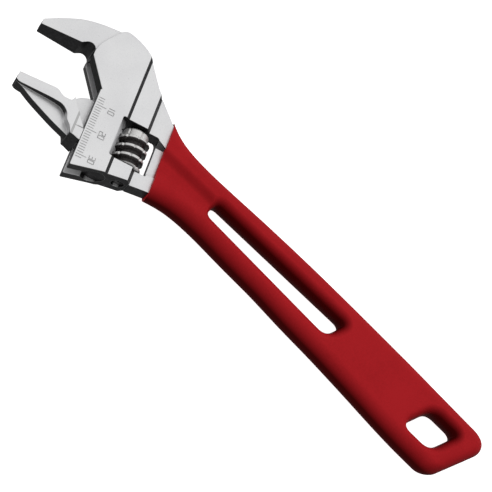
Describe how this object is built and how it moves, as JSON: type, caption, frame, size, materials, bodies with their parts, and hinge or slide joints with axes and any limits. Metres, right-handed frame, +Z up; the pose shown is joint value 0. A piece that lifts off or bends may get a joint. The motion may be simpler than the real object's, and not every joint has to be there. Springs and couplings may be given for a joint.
{
  "type": "adjustable wrench",
  "caption": "Adjustable wrench with thin tapered jaws, a worm-driven sliding jaw, a slotted steel handle and a dipped plastic grip with a hanging hole.",
  "frame": {"origin": "middle of the outline box, on the plane that the wrench lies on", "axes": "+X runs along the handle from the jaws to the hanging hole, +Y points to the fixed jaw's side, +Z points up out of the graduated face"},
  "size_m": [0.2152, 0.0536, 0.012],
  "materials": {
    "plated_steel": "polished plating over forged steel",
    "dipped_vinyl": "dipped soft vinyl with a satin sheen",
    "black_steel": "blackened steel with bright thread crests",
    "spring_steel": "plain spring wire"
  },
  "bodies": {
    "handle": {"frame": "plated_steel", "grip": "dipped_vinyl", "worm_pin": "black_steel", "worm_spring": "spring_steel"},
    "jaw": {"movable_jaw": "plated_steel"},
    "knurl": {"worm": "black_steel"}
  },
  "joints": [
    {"name": "worm_spin", "type": "hinge", "parent": "handle", "child": "knurl", "pos_m": [-0.05507, -0.00501, 0.006], "axis": [-0.342, 0.9397, 0], "range_deg": [-1600, 960]},
    {"name": "jaw_slide", "type": "slide", "parent": "handle", "child": "jaw", "axis": [0.342, -0.9397, 0], "range_m": [-0.016, 0.0096]}
  ],
  "couplings": [
    {"joint": "worm_spin", "follows": "jaw_slide", "rad_per_m": 1745.3}
  ]
}
